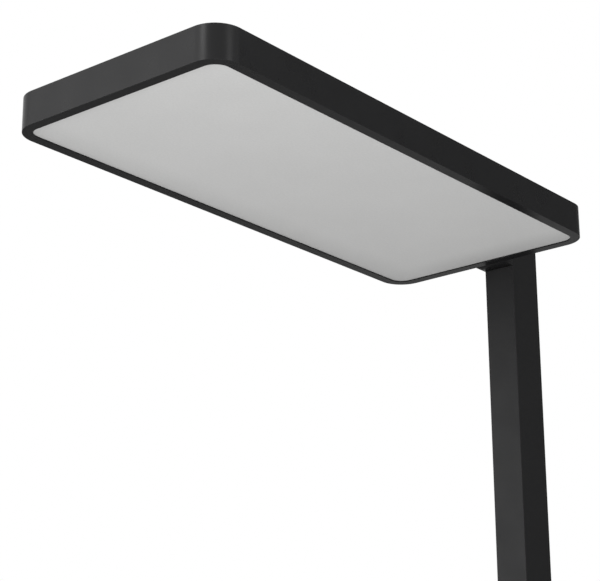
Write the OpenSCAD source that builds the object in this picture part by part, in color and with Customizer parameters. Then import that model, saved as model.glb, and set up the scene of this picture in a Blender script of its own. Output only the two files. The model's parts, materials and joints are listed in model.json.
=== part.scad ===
// Office floor lamp: a flat rectangular head on a rectangular mast with a U-shaped base plate.
// +Z is up, the head reaches out along -X, and the origin is on the floor below the mast's centre.

/* [Lamp] */
// Height of the whole lamp, from the floor to the top of the head
lamp_h = 1950; // [1700:10:2100]

/* [Head] */
// Length of the head, along X
head_l = 650; // [600:10:760]
// Width of the head, along Y
head_w = 280; // [260:5:340]
// Height of the head's side
head_h = 37; // [35:1:44]
// Radius of the head's corners in plan
head_r = 30; // [22:1:40]
// Wall of the head's frame
frame_t = 3; // [2:0.5:4]
// Width of the rim round the light panel
rim_w = 12; // [11.5:0.5:18]
// Thickness of the rim, which is how far the light panel is set back
rim_t = 1.4; // [1:0.1:3]
// Thickness of the light panel
panel_t = 3; // [2:0.5:4]
// Thickness of the light guide above the panel
guide_t = 4; // [3:0.5:5]
// Thickness of the white reflector sheet
reflector_t = 0.5; // [0.3:0.1:1]
// Thickness of the gear tray
tray_t = 1.5; // [1:0.25:2.5]
// Thickness of the top cover
cover_t = 1.5; // [1:0.25:2.5]
// Screw posts on each long side of the frame
post_n = 4; // [3:1:5]
// Radius of a screw post
post_r = 3.2; // [2.8:0.1:3.4]
// Distance of a tray post from the head's centre line
tray_post_y = 80; // [60:5:95]
// Gap round each sheet and plate in the frame
sheet_gap = 0.3; // [0.1:0.1:0.5]

/* [Lighting gear] */
// Thickness of the LED boards
board_t = 1.6; // [1:0.2:2]
// Height of an LED on its board
led_h = 1; // [0.6:0.1:1.2]
// Width of an LED
led_w = 3; // [2:0.5:4]
// Distance from one LED to the next
led_pitch = 19; // [12:1:30]
// Length of an uplight board
up_l = 500; // [420:10:520]
// Width of an uplight board
up_w = 36; // [24:2:44]
// Distance of the uplight boards from the head's centre line
up_y = 86; // [70:2:92]
// Margin of the uplight windows round their boards
window_margin = 8; // [4:1:12]
// Thickness of the uplight lenses
lens_t = 2; // [1.5:0.5:3]
// Width of the ledge that a lens is bonded to
lens_ledge = 5; // [3:1:7]
// Length of the driver's case
driver_l = 190; // [150:10:230]
// Width of the driver's case
driver_w = 56; // [40:2:64]
// Height of the driver's case
driver_h = 20; // [16:1:21]
// Length of each mounting ear of the driver
ear_l = 10; // [8:1:14]
// Thickness of the driver's ears
ear_t = 2; // [1:0.5:3]
// Length of the terminal block
terminal_l = 30; // [20:2:40]
// Width of the terminal block
terminal_w = 25; // [20:1:32]
// Height of the terminal block above the lead's centre line
terminal_rise = 5; // [4:1:8]
// Distance from the mast's end of the head to the terminal block
terminal_x = 100; // [90:5:120]

/* [Neck] */
// Gap between the head and the mast, bridged by the neck
neck_l = 20; // [14:1:40]
// Radius of the cable way through the neck
neck_bore_r = 6; // [5.2:0.2:6.4]
// Distance of the neck screws from the centre line, along Y
neck_screw_y = 12; // [11.5:0.25:13]
// Distance of the neck screws from the cable way, up and down
neck_screw_z = 5; // [4.5:0.1:5.2]
// Depth of the neck screws in the mast's head block
neck_screw_grip = 10; // [8:1:14]
// Thickness of the head bracket
bracket_t = 3; // [2:0.5:4]
// Width of the head bracket
bracket_w = 80; // [50:5:100]
// Length of the head bracket's foot on the tray
bracket_l = 60; // [40:5:80]

/* [Mast] */
// Depth of the mast, along X
mast_d = 55; // [50:1:70]
// Width of the mast and of the neck, along Y
mast_w = 40; // [38:1:60]
// Wall of the mast tube
mast_t = 2; // [1.5:0.5:3]
// Outer corner radius of the mast tube
mast_r = 2; // [1.6:0.2:4]
// Inner corner radius of the mast tube
mast_ri = 1; // [0.5:0.25:1.5]
// Gap between the tube and the blocks inside it
plug_gap = 0.2; // [0.1:0.05:0.4]
// Thickness of the mast cap
cap_t = 2; // [1.5:0.5:3]
// Radius of the cap's two pins
cap_pin_r = 2.5; // [1.5:0.25:3]
// Length of the cap's two pins
cap_pin_l = 8; // [5:1:12]
// Distance of the cap's pins from the centre line
cap_pin_y = 10; // [7:1:12]
// Height of the block in the top of the mast
head_block_h = 62; // [50:2:90]
// Height of the block in the foot of the mast
foot_block_h = 50; // [44:2:80]

/* [Base] */
// Length of the base plate, along X
base_l = 440; // [380:10:520]
// Width of the base plate, along Y
base_w = 280; // [240:10:360]
// Thickness of the base plate
base_t = 12; // [8:1:16]
// Width of each of the base plate's two legs
leg_w = 75; // [62:1:90]
// Length of the notch between the legs
notch_l = 240; // [180:10:280]
// Corner radius of the base plate
base_r = 30; // [15:1:30]
// Radius in the corners of the notch
notch_r = 20; // [8:2:30]
// Distance from the mast's centre to the rear edge of the base
base_back = 50; // [42:2:90]
// Thickness of the rubber glides
glide_t = 2; // [1.5:0.5:4]
// Radius of the glides
glide_r = 14; // [10:1:18]
// Distance of a glide's centre from the end of its leg
glide_inset = 36; // [24:1:44]
// Radius of the pad below the mast, which covers the foot screws
foot_pad_r = 26; // [24:1:32]
// Distance of the foot screws from the mast's centre
foot_screw_x = 14; // [10:0.5:15]
// Length of the foot screws
foot_screw_l = 25; // [18:1:28]
// Steel left between the foot screws' holes and the lower grub screw
grub_wall = 1.5; // [1:0.5:4]
// Distance between the two grub screws
grub_pitch = 20; // [12:1:20]
// Length of the grub screws
grub_l = 12; // [8:1:16]

/* [Cable inlet] */
// Height of the cable gland above the foot block
gland_rise = 20; // [14:1:40]
// Radius of the cable way in the gland, for a 7 mm lead
gland_bore_r = 3.6; // [2.6:0.1:4]
// Outer radius of the gland's dome
gland_r = 9; // [8:0.5:12]
// Length of the gland outside the mast
gland_l = 12; // [8:1:20]
// Radius of the gland's thread through the mast's wall
gland_thread_r = 6; // [5.2:0.2:7]
// Length of the gland's thread inside the mast's wall
gland_thread_l = 7; // [6:1:10]
// Thickness of the gland's nut
gland_nut_t = 4; // [3:0.5:5]
// Radius of the mains lead inside the lamp
mains_r = 2.75; // [2:0.25:3]
// Radius of the control lead inside the lamp
control_lead_r = 1.5; // [1:0.1:1.6]
// Gap between the two leads
lead_gap = 0.5; // [0.2:0.1:0.8]
// Distance of both leads from the mast's centre, towards the rear
lead_x = 12; // [8:1:13]
// Bend radius of the two leads at the top of the mast
lead_bend = 18; // [12:1:20]
// Length of the connector at the lower end of the mains lead
connector_l = 30; // [20:1:40]

/* [Control] */
// Height of the control's middle above the floor
control_z = 1150; // [900:10:1300]
// Width of the window in the mast
control_w = 24; // [23:0.5:28]
// Height of the window in the mast
control_h = 100; // [98:1:120]
// Corner radius of the window
control_corner_r = 3; // [1.5:0.5:5]
// How far the fascia reaches past the window on each side
fascia_lip = 3; // [2:0.5:5]
// Thickness of the fascia
fascia_t = 2; // [1.5:0.25:3]
// Wall of the control's housing
housing_t = 1.5; // [1:0.25:1.75]
// Depth of the control's housing inside the mast
housing_d = 12.6; // [12:0.2:16]
// Thickness of the control's circuit board
control_board_t = 1.6; // [1:0.2:2]
// Height of a key switch on the board
switch_h = 3.5; // [3:0.25:4]
// Width of a key switch
switch_w = 6; // [5:0.5:8]
// Width of a key's cap
key_w = 16; // [12:0.5:16.5]
// Height of a key's cap
key_h = 22; // [16:0.5:23]
// Corner radius of a key's cap
key_r = 3; // [1:0.5:5]
// Distance from one key to the next
key_pitch = 28; // [26:0.5:29]
// How far a key stands out of the fascia
key_proud = 0.8; // [0.8:0.1:1.6]
// Travel of a key
key_travel = 0.8; // [0.4:0.1:1]
// Running gap round a key's cap and between its flange and the fascia
key_gap = 0.3; // [0.2:0.05:0.4]
// Width of the flange that keeps a key in
key_flange = 1.5; // [1:0.25:1.5]
// Thickness of a key's flange
key_flange_t = 1; // [0.8:0.1:1.4]
// Radius of a key's stem
key_stem_r = 1.6; // [1:0.1:2]
// Radius of the status light
status_r = 1.25; // [0.8:0.05:1.5]

/* [Fasteners] */
// Gap round a screw in a clearance hole
hole_gap = 0.25; // [0.15:0.05:0.4]
// Gap round a screw in its thread
thread_gap = 0.05; // [0.02:0.01:0.08]
// Thread radius of the small screws in the head
small_r = 1.5; // [1.2:0.1:1.6]
// Thread radius of the bracket screws
bracket_screw_r = 2; // [1.5:0.25:2.5]
// Thread radius of the neck screws
neck_screw_r = 2.5; // [2:0.25:2.5]
// Thread radius of the foot screws
foot_screw_r = 4; // [3:0.25:5]
// Thread radius of the grub screws
grub_r = 3; // [2:0.25:4]

/* [Hidden] */

$fn = 64;
eps = 0.5; // how far a cut runs past the face it opens
hole_spare = 1; // how much deeper a blind hole is than its screw or pin

black = [0.10, 0.10, 0.11];
dark_plastic = [0.14, 0.14, 0.15];
steel = [0.62, 0.63, 0.65];
raw_aluminium = [0.74, 0.75, 0.77];
opal = [0.88, 0.88, 0.87];
board_white = [0.90, 0.91, 0.90];
board_green = [0.12, 0.35, 0.20];
copper_tone = [0.80, 0.48, 0.25];

// Heights of the base and of the mast's ends
base_z = glide_t;
base_top = base_z + base_t;
tube_top = lamp_h - cap_t;
foot_block_top = base_top + foot_block_h;
head_block_z = tube_top - head_block_h;

// The mast's faces and the room inside it
mast_x0 = -mast_d / 2;
mast_x1 = mast_d / 2;
mast_in_x0 = mast_x0 + mast_t;
mast_in_x1 = mast_x1 - mast_t;
mast_in_d = mast_d - 2 * mast_t;
mast_in_w = mast_w - 2 * mast_t;
plug_d = mast_in_d - 2 * plug_gap;
plug_w = mast_in_w - 2 * plug_gap;

// The head's ends and centre along X, and the room inside its frame
head_x1 = mast_x0 - neck_l;
head_cx = head_x1 - head_l / 2;
head_z = lamp_h - head_h;
room_l = head_l - 2 * frame_t;
room_w = head_w - 2 * frame_t;
room_r = head_r - frame_t;
room_x1 = head_x1 - frame_t;

// The sheets and plates in the head, from the rim up
panel_z = head_z + rim_t;
guide_z = panel_z + panel_t;
reflector_z = guide_z + guide_t;
tray_z = reflector_z + reflector_t;
tray_top = tray_z + tray_t;
cover_z = lamp_h - cover_t;
lens_z = cover_z - lens_t;

// Screw posts of the frame: their web keeps them off the wall, so that they stay behind the rim
post_web = 0.5;
post_off = post_r + post_web;
post_inset = 10;
post_pitch = (room_l - 2 * room_r - 2 * post_inset) / (post_n - 1);
post_xs = [for (i = [0 : post_n - 1]) head_cx + (i - (post_n - 1) / 2) * post_pitch];
post_y = room_w / 2 - post_off;
tray_post_x = room_l / 2 - post_off;
screw_depth = 8; // depth of the small screws in their posts
pan_head_h = 1.8;
pan_head_k = 1.9; // a pan head's radius as a multiple of its thread's
sink_head_k = 1.95; // the same for a countersunk head

// Hexagon sockets of the screws: a socket's corner radius as a multiple of its thread's
pan_socket_k = 0.8;
sink_socket_k = 0.7;
grub_socket_k = 0.55;
neck_socket_k = 0.9;

// Strips stand between the posts, and jumpers go round the posts from strip to strip
jumper_t = 0.3;
jumper_gap = 0.2;
notch_gap = 2 * jumper_gap + jumper_t;
strip_gap = 1.6;
strip_l = post_pitch - 2 * (post_r + strip_gap);
strip_led_n = floor((strip_l - led_w) / led_pitch) + 1;
guide_side_gap = board_t + led_h + sheet_gap;
up_led_n = floor((up_l - led_w) / led_pitch) + 1;

// Neck screws and cable way, between the bracket's foot and the top cover
bracket_top = tray_top + bracket_t;
bracket_x0 = room_x1 - bracket_t;
neck_z = (bracket_top + cover_z) / 2;
neck_screw_l = bracket_t + frame_t + neck_l + mast_t + neck_screw_grip;
neck_head_h = 4.5;
neck_socket_l = 2.7;
neck_head_k = 1.65; // a cap screw's head radius as a multiple of its thread's
bracket_screw_ys = [-bracket_w / 3, bracket_w / 3];
bracket_rows = [0.35, 0.8]; // places of the screws along the bracket's foot, as shares of its length
bracket_screw_xs = [for (share = bracket_rows) bracket_x0 - bracket_l * share];
bracket_gap = 0.5; // below the top cover

// The two leads, side by side across the cable way
lead_pair_w = 2 * mains_r + lead_gap + 2 * control_lead_r;
mains_y = -lead_pair_w / 2 + mains_r;
control_y = lead_pair_w / 2 - control_lead_r;
lead_split_y = mains_y + mains_r + lead_gap / 2;
slot_room = 1; // between the leads and the walls of their slot
slot_w = lead_pair_w + 2 * slot_room;
slot_x1 = lead_x + mains_r + slot_room;
lead_top_z = neck_z - lead_bend;

// Cap pins behind the lead slot
cap_pin_x = (slot_x1 + plug_d / 2) / 2;
cap_pin_gap = 0.1;

// Lighting gear on the tray
terminal_x1 = head_x1 - terminal_x;
terminal_x0 = terminal_x1 - terminal_l;
terminal_y0 = lead_split_y - terminal_w;
driver_gap = 40; // room for the leads between terminal block and driver
driver_x1 = terminal_x0 - driver_gap;
driver_x0 = driver_x1 - driver_l;
driver_lead_r = 2;
driver_lead_y = terminal_y0 + terminal_w / 2;
driver_lead_rise = 6; // above the tray
driver_lead_z = tray_top + driver_lead_rise;
driver_screw_y = driver_w / 3;
led_band = 0.6; // height of the strips' LEDs and jumpers, as a share of the guide's or board's
ribbon_t = 1.2; // the flat leads to the strips
ribbon_w = 4;
ribbon_y = driver_w / 6;
ribbon_x = head_cx - up_l / 2 - ribbon_w;
ribbon_run_y = (up_y + up_w / 2 + post_y - post_r) / 2; // between the uplight boards and the posts
ribbon_land_x = post_xs[0] + post_r + strip_gap + ribbon_w; // where it comes down on its strip
ribbon_z = tray_top + ear_t;
ribbon_end_y = room_w / 2 - sheet_gap;

// Foot screws and grub screws
foot_hole_top = base_z + foot_screw_l + hole_spare;
sink_gap = 0.1;
grub_z = foot_hole_top + grub_wall + grub_r;
grub_set = 0.4; // how far a grub screw sits below the mast's face

// Gland and connector
gland_z = foot_block_top + gland_rise;
gland_wall = 1.4; // of the gland's thread
gland_neck_r = gland_thread_r - gland_wall;
gland_nut_lip = 1; // how far the nut's corners reach past the gland's dome
gland_nut_r = gland_r + gland_nut_lip;
connector_rise = 7; // between the gland and the connector
connector_z = gland_z + gland_r + connector_rise;
connector_d = 18;
connector_w = 18;
connector_top = connector_z + connector_l;

// Control: depths along X from the mast's front face, towards the rear
housing_gap = 0.2;
housing_w = control_w - 2 * housing_gap;
housing_h = control_h - 2 * housing_gap;
housing_r = control_corner_r - housing_gap;
housing_x1 = mast_x0 + housing_d;
board_x1 = housing_x1 - housing_t;
board_x0 = board_x1 - control_board_t;
switch_x0 = board_x0 - switch_h;
board_gap = 0.3;
control_board_w = housing_w - 2 * housing_t - 2 * board_gap;
control_board_h = housing_h - 2 * housing_t - 2 * board_gap;
key_zs = [control_z + key_pitch, control_z, control_z - key_pitch];
key_flange_x0 = mast_x0 + key_gap;
stem_entry = 0.5; // how deep a stem sits in its switch at rest
stem_gap = 0.3;
switch_bore_x1 = switch_x0 + stem_entry + key_travel + stem_gap;
status_gap = 0.05;
status_flange = 0.6;
status_z = key_zs[0] + key_h / 2 + key_flange + key_gap + status_flange + status_r;
control_lead_z = control_z - key_pitch / 2;
control_lead_bend = 8;
control_cores = 0.8; // radius of the lead's cores as a share of the lead's, where they enter the housing

// ---- Shapes that repeat ----

// A rectangle with round corners, centred
module rounded_rect(l, w, r) {
    square([l - 2 * r, w], center = true);
    square([l, w - 2 * r], center = true);
    for (sx = [-1, 1], sy = [-1, 1])
        translate([sx * (l / 2 - r), sy * (w / 2 - r)])
            circle(r);
}

// Extrudes a drawing along X: its x runs along Y and its y along Z
module along_x(x0, x1) {
    translate([x0, 0, 0])
        rotate([90, 0, 90])
            linear_extrude(x1 - x0)
                children();
}

// A round bar along X
module bar_x(x0, x1, r, y, z) {
    translate([x0, y, z])
        rotate([0, 90, 0])
            cylinder(r = r, h = x1 - x0);
}

// A round bar along Z
module bar_z(z0, z1, r, x, y) {
    translate([x, y, z0])
        cylinder(r = r, h = z1 - z0);
}

// A quarter bend in the XZ plane about its centre, from direction a to a + 90
module bend_xz(x, y, z, bend, r, a) {
    translate([x, y, z])
        rotate([90, 0, 0])
            rotate([0, 0, a])
                rotate_extrude(angle = 90)
                    translate([bend, 0])
                        circle(r, $fn = 32);
}

// Puts its children at the four neck screws, in the plane of the mast's front face
module at_neck_screws() {
    for (sy = [-1, 1], sz = [-1, 1])
        translate([0, sy * neck_screw_y, neck_z + sz * neck_screw_z])
            children();
}

// Puts its children at the posts on the long sides, which reach up to the cover
module at_cover_posts() {
    for (x = post_xs, sy = [-1, 1])
        translate([x, sy * post_y, 0])
            rotate([0, 0, sy * 90])
                children();
}

// Puts its children at the posts on the short sides, which carry the tray
module at_tray_posts() {
    for (sx = [-1, 1], sy = [-1, 1])
        translate([head_cx + sx * tray_post_x, sy * tray_post_y, 0])
            rotate([0, 0, sx > 0 ? 0 : 180])
                children();
}

// A post's outline, with +X towards the wall that its web joins
module post_outline() {
    circle(post_r);
    translate([0, -post_r])
        square([post_off + frame_t / 2, 2 * post_r]);
}

// The notch that a sheet has round a post
module post_notch(gap) {
    translate([-post_r - gap, -post_r - gap])
        square([2 * post_r + post_web + gap + frame_t, 2 * (post_r + gap)]);
}

// The outline of a sheet that fills the frame's room less a gap at the ends and at the sides
module room_outline(end_gap, side_gap) {
    gap = max(end_gap, side_gap);
    translate([head_cx, 0])
        rounded_rect(room_l - 2 * end_gap, room_w - 2 * side_gap, room_r - gap);
}

// A pan head screw, its thread down from the origin
module pan_screw(r, l) {
    difference() {
        union() {
            translate([0, 0, -l])
                cylinder(r = r, h = l);
            cylinder(r = r * pan_head_k, h = pan_head_h);
        }
        translate([0, 0, pan_head_h / 2])
            cylinder(r = r * pan_socket_k, h = pan_head_h, $fn = 6);
    }
}

// A countersunk screw, its head's face at the origin and its thread down
module sunk_screw(r, l) {
    rim_r = r * sink_head_k;
    difference() {
        union() {
            translate([0, 0, -l])
                cylinder(r = r, h = l);
            translate([0, 0, -(rim_r - r)])
                cylinder(r1 = r, r2 = rim_r, h = rim_r - r);
        }
        translate([0, 0, -r / 2])
            cylinder(r = r * sink_socket_k, h = r, $fn = 6);
    }
}

// The hole for a countersunk screw
module sunk_hole(r, l) {
    rim_r = r * sink_head_k + sink_gap;
    translate([0, 0, -l])
        cylinder(r = r + hole_gap, h = l);
    translate([0, 0, -(rim_r - r)])
        cylinder(r1 = r, r2 = rim_r, h = rim_r - r);
}

// ---- Base ----

// The base plate's outline: two legs with round ends, joined across the rear
module base_outline() {
    bar_l = base_l - notch_l;
    tip_flat = 1; // least straight stretch at the end of a leg
    tip_r = min(base_r, (leg_w - tip_flat) / 2);
    for (sy = [-1, 1])
        translate([base_back - base_l / 2, sy * (base_w - leg_w) / 2])
            rounded_rect(base_l, leg_w, tip_r);
    translate([base_back - bar_l / 2, 0])
        rounded_rect(bar_l, base_w, base_r);
    for (sy = [-1, 1])
        translate([base_back - bar_l, sy * (base_w / 2 - leg_w)])
            notch_fillet(sy);
}

// The round corner of the notch, between the rear bar and one leg
module notch_fillet(sy) {
    difference() {
        translate([-notch_r, sy > 0 ? -notch_r : 0])
            square([notch_r, notch_r]);
        translate([-notch_r, -sy * notch_r])
            circle(notch_r);
    }
}

// Steel base plate that the whole lamp stands on
module base_plate() {
    color(black)
        difference() {
            translate([0, 0, base_z])
                linear_extrude(base_t)
                    base_outline();
            at_foot_screws()
                sunk_hole(foot_screw_r, base_t + eps);
        }
}

// Puts its children at the foot screws, which point up from the plate's underside
module at_foot_screws() {
    for (sx = [-1, 1])
        translate([sx * foot_screw_x, 0, base_z])
            rotate([180, 0, 0])
                children();
}

// Rubber glides below the plate, and a larger pad over the foot screws
module base_glides() {
    leg_y = (base_w - leg_w) / 2;
    glide_xs = [
        base_back - base_l + glide_inset,
        base_back - base_l + notch_l,
        base_back - glide_inset
    ];
    color(dark_plastic) {
        for (x = glide_xs, sy = [-1, 1])
            bar_z(0, glide_t, glide_r, x, sy * leg_y);
        bar_z(0, glide_t, foot_pad_r, 0, 0);
    }
}

// Steel block in the foot of the mast, tapped for the foot screws and the grub screws
module foot_block() {
    color(steel)
        difference() {
            translate([0, 0, base_top])
                linear_extrude(foot_block_h)
                    rounded_rect(plug_d, plug_w, mast_ri);
            for (sx = [-1, 1])
                bar_z(base_top - eps, foot_hole_top, foot_screw_r + thread_gap, sx * foot_screw_x, 0);
            at_grub_screws()
                bar_x(mast_x1 - grub_l - hole_spare, mast_x1, grub_r + thread_gap, 0, 0);
        }
}

// Countersunk screws up through the plate into the foot block
module foot_screws() {
    color(steel)
        at_foot_screws()
            sunk_screw(foot_screw_r, foot_screw_l);
}

// Puts its children at the heights of the two grub screws
module at_grub_screws() {
    for (i = [0, 1])
        translate([0, 0, grub_z + i * grub_pitch])
            children();
}

// Grub screws that hold the tube on the foot block, from the rear
module grub_screws() {
    color(steel)
        at_grub_screws()
            difference() {
                bar_x(mast_x1 - grub_l, mast_x1 - grub_set, grub_r, 0, 0);
                translate([mast_x1 - grub_set - grub_r, 0, 0])
                    rotate([0, 90, 0])
                        cylinder(r = grub_r * grub_socket_k, h = grub_r + eps, $fn = 6);
            }
}

// ---- Cable inlet ----

// Cable gland in the rear of the mast: a domed body and a threaded neck with the way through it
module cable_gland() {
    dome_r = 3;
    flat_l = gland_l - dome_r;
    color(dark_plastic)
        translate([mast_x1, 0, gland_z])
            rotate([0, 90, 0])
                difference() {
                    rotate_extrude() {
                        translate([0, -mast_t - gland_thread_l])
                            square([gland_thread_r, mast_t + gland_thread_l + eps]);
                        square([gland_r, flat_l]);
                        square([gland_r - dome_r, gland_l]);
                        translate([gland_r - dome_r, flat_l])
                            intersection() {
                                circle(dome_r);
                                square(dome_r);
                            }
                    }
                    translate([0, 0, -eps])
                        cylinder(r = gland_bore_r, h = gland_l + 2 * eps);
                    translate([0, 0, -mast_t - gland_thread_l - eps])
                        cylinder(r = gland_neck_r, h = mast_t + gland_thread_l + eps);
                }
}

// Nut on the gland's thread, inside the mast
module gland_nut() {
    color(dark_plastic)
        translate([mast_in_x1 - gland_nut_t, 0, gland_z])
            rotate([0, 90, 0])
                difference() {
                    cylinder(r = gland_nut_r, h = gland_nut_t, $fn = 6);
                    translate([0, 0, -eps])
                        cylinder(r = gland_thread_r + thread_gap, h = gland_nut_t + 2 * eps);
                }
}

// Connector inside the mast where a mains lead is joined to the inner one
module lead_connector() {
    cage = 1.5;
    color(dark_plastic)
        translate([mast_in_x1 - connector_d, -connector_w / 2, connector_z])
            difference() {
                cube([connector_d, connector_w, connector_l]);
                for (i = [0 : 2])
                    translate([
                        connector_d / 2,
                        connector_w / 2 + (i - 1) * (connector_w - 2 * cage) / 3,
                        -eps
                    ])
                        cylinder(r = cage, h = connector_l / 3 + eps);
            }
}

// ---- Mast ----

// Rectangular tube of the mast, with the control's window and the holes for what passes its walls
module mast_tube() {
    color(black)
        difference() {
            translate([0, 0, base_top])
                linear_extrude(tube_top - base_top)
                    difference() {
                        rounded_rect(mast_d, mast_w, mast_r);
                        rounded_rect(mast_in_d, mast_in_w, mast_ri);
                    }
            translate([0, 0, control_z])
                along_x(mast_x0 - eps, mast_in_x0 + eps)
                    rounded_rect(control_w, control_h, control_corner_r);
            bar_x(mast_x0 - eps, mast_in_x0 + eps, neck_bore_r, 0, neck_z);
            at_neck_screws()
                bar_x(mast_x0 - eps, mast_in_x0 + eps, neck_screw_r + hole_gap, 0, 0);
            at_grub_screws()
                bar_x(mast_in_x1 - eps, mast_x1 + eps, grub_r + hole_gap, 0, 0);
            bar_x(mast_in_x1 - eps, mast_x1 + eps, gland_thread_r + hole_gap, 0, gland_z);
        }
}

// Cap on the top of the mast, held by two pins in the head block
module mast_cap() {
    color(black) {
        translate([0, 0, tube_top])
            linear_extrude(cap_t)
                rounded_rect(mast_d, mast_w, mast_r);
        for (sy = [-1, 1])
            bar_z(tube_top - cap_pin_l, tube_top + cap_t / 2, cap_pin_r, cap_pin_x, sy * cap_pin_y);
    }
}

// Block in the top of the mast that the neck screws pull against, slotted for the leads
module mast_head_block() {
    slot_top = neck_z + mains_r + slot_room;
    color(raw_aluminium)
        difference() {
            translate([0, 0, head_block_z])
                linear_extrude(head_block_h)
                    rounded_rect(plug_d, plug_w, mast_ri);
            translate([-plug_d, -slot_w / 2, head_block_z - eps])
                cube([plug_d + slot_x1, slot_w, slot_top - head_block_z + eps]);
            at_neck_screws()
                bar_x(-plug_d, mast_in_x0 + neck_screw_grip + hole_spare, neck_screw_r + thread_gap, 0, 0);
            for (sy = [-1, 1])
                bar_z(tube_top - cap_pin_l - hole_spare, tube_top + eps,
                    cap_pin_r + cap_pin_gap, cap_pin_x, sy * cap_pin_y);
        }
}

// ---- Neck ----

// Block between the mast and the head, as wide as the mast and as high as the head
module neck() {
    color(black)
        difference() {
            translate([head_x1, -mast_w / 2, head_z])
                cube([neck_l, mast_w, head_h]);
            bar_x(head_x1 - eps, mast_x0 + eps, neck_bore_r, 0, neck_z);
            at_neck_screws()
                bar_x(head_x1 - eps, mast_x0 + eps, neck_screw_r + hole_gap, 0, 0);
        }
}

// Cap screws from inside the head, through the bracket, the frame and the neck, into the mast
module neck_screws() {
    head_x0 = bracket_x0 - neck_head_h;
    color(steel)
        at_neck_screws()
            difference() {
                union() {
                    bar_x(bracket_x0, bracket_x0 + neck_screw_l, neck_screw_r, 0, 0);
                    bar_x(head_x0, bracket_x0, neck_screw_r * neck_head_k, 0, 0);
                }
                translate([head_x0 - eps, 0, 0])
                    rotate([0, 90, 0])
                        cylinder(r = neck_screw_r * neck_socket_k, h = neck_socket_l + eps, $fn = 6);
            }
}

// Angle bracket that spreads the head's weight over the tray and the end of the frame
module head_bracket() {
    bracket_h = cover_z - bracket_gap - tray_top;
    color(raw_aluminium)
        difference() {
            union() {
                translate([bracket_x0, -bracket_w / 2, tray_top])
                    cube([bracket_t, bracket_w, bracket_h]);
                translate([bracket_x0 - bracket_l, -bracket_w / 2, tray_top])
                    cube([bracket_l + bracket_t / 2, bracket_w, bracket_t]);
            }
            bar_x(bracket_x0 - eps, room_x1 + eps, neck_bore_r, 0, neck_z);
            at_neck_screws()
                bar_x(bracket_x0 - eps, room_x1 + eps, neck_screw_r + hole_gap, 0, 0);
            at_bracket_screws()
                cylinder(r = bracket_screw_r + hole_gap, h = bracket_t + 2 * eps);
        }
}

// Puts its children at the bracket screws, just below the bracket's foot
module at_bracket_screws() {
    for (x = bracket_screw_xs, y = bracket_screw_ys)
        translate([x, y, tray_top - eps])
            children();
}

// Screws of the bracket's foot, into the tray
module bracket_screws() {
    color(steel)
        at_bracket_screws()
            translate([0, 0, bracket_t + eps])
                pan_screw(bracket_screw_r, bracket_t + tray_t);
}

// ---- Head ----

// Frame of the head: side wall, rim round the light panel and screw posts behind the rim
module head_frame() {
    color(black)
        difference() {
            union() {
                translate([0, 0, head_z])
                    linear_extrude(head_h)
                        difference() {
                            translate([head_cx, 0])
                                rounded_rect(head_l, head_w, head_r);
                            room_outline(0, 0);
                        }
                translate([0, 0, head_z])
                    linear_extrude(rim_t)
                        difference() {
                            translate([head_cx, 0])
                                rounded_rect(head_l - frame_t, head_w - frame_t, head_r - frame_t / 2);
                            rim_opening();
                        }
                at_cover_posts()
                    translate([0, 0, head_z + rim_t / 2])
                        linear_extrude(cover_z - head_z - rim_t / 2)
                            post_outline();
                at_tray_posts()
                    translate([0, 0, head_z + rim_t / 2])
                        linear_extrude(tray_z - head_z - rim_t / 2)
                            post_outline();
            }
            at_cover_posts()
                bar_z(cover_z - screw_depth - hole_spare, cover_z + eps, small_r + thread_gap, 0, 0);
            at_tray_posts()
                bar_z(guide_z, tray_z + eps, small_r + thread_gap, 0, 0);
            bar_x(room_x1 - eps, head_x1 + eps, neck_bore_r, 0, neck_z);
            at_neck_screws()
                bar_x(room_x1 - eps, head_x1 + eps, neck_screw_r + hole_gap, 0, 0);
        }
}

// The opening in the rim that the panel shows through
module rim_opening() {
    translate([head_cx, 0])
        rounded_rect(head_l - 2 * rim_w, head_w - 2 * rim_w, head_r - rim_w);
}

// A sheet in the head with a notch round each post
module notched_sheet(z, t, end_gap, side_gap) {
    translate([0, 0, z])
        linear_extrude(t)
            difference() {
                room_outline(end_gap, side_gap);
                at_cover_posts()
                    post_notch(notch_gap);
                at_tray_posts()
                    post_notch(sheet_gap);
            }
}

// Prismatic light panel, which lies on the rim
module light_panel() {
    color(opal)
        notched_sheet(panel_z, panel_t, sheet_gap, sheet_gap);
}

// Clear light guide, lit from its long edges
module light_guide() {
    color(opal)
        notched_sheet(guide_z, guide_t, sheet_gap, guide_side_gap);
}

// White sheet that sends the light down
module reflector_sheet() {
    color(board_white)
        notched_sheet(reflector_z, reflector_t, sheet_gap, guide_side_gap);
}

// Row of LEDs along X on top of the drawing plane
module led_row(n, w) {
    for (i = [0 : n - 1])
        translate([(i - (n - 1) / 2) * led_pitch - led_w / 2, -w / 2, 0])
            cube([led_w, w, led_h]);
}

// LED strips on the long walls, one between each two posts, facing the light guide
module led_strips() {
    strip_h = tray_z - guide_z;
    color(board_white)
        for (i = [0 : post_n - 2], sy = [-1, 1])
            translate([(post_xs[i] + post_xs[i + 1]) / 2, sy * room_w / 2, guide_z + strip_h / 2])
                rotate([sy * 90, 0, 0]) {
                    translate([-strip_l / 2, -strip_h / 2, 0])
                        cube([strip_l, strip_h, board_t]);
                    translate([0, 0, board_t])
                        led_row(strip_led_n, strip_h * led_band);
                }
}

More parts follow.
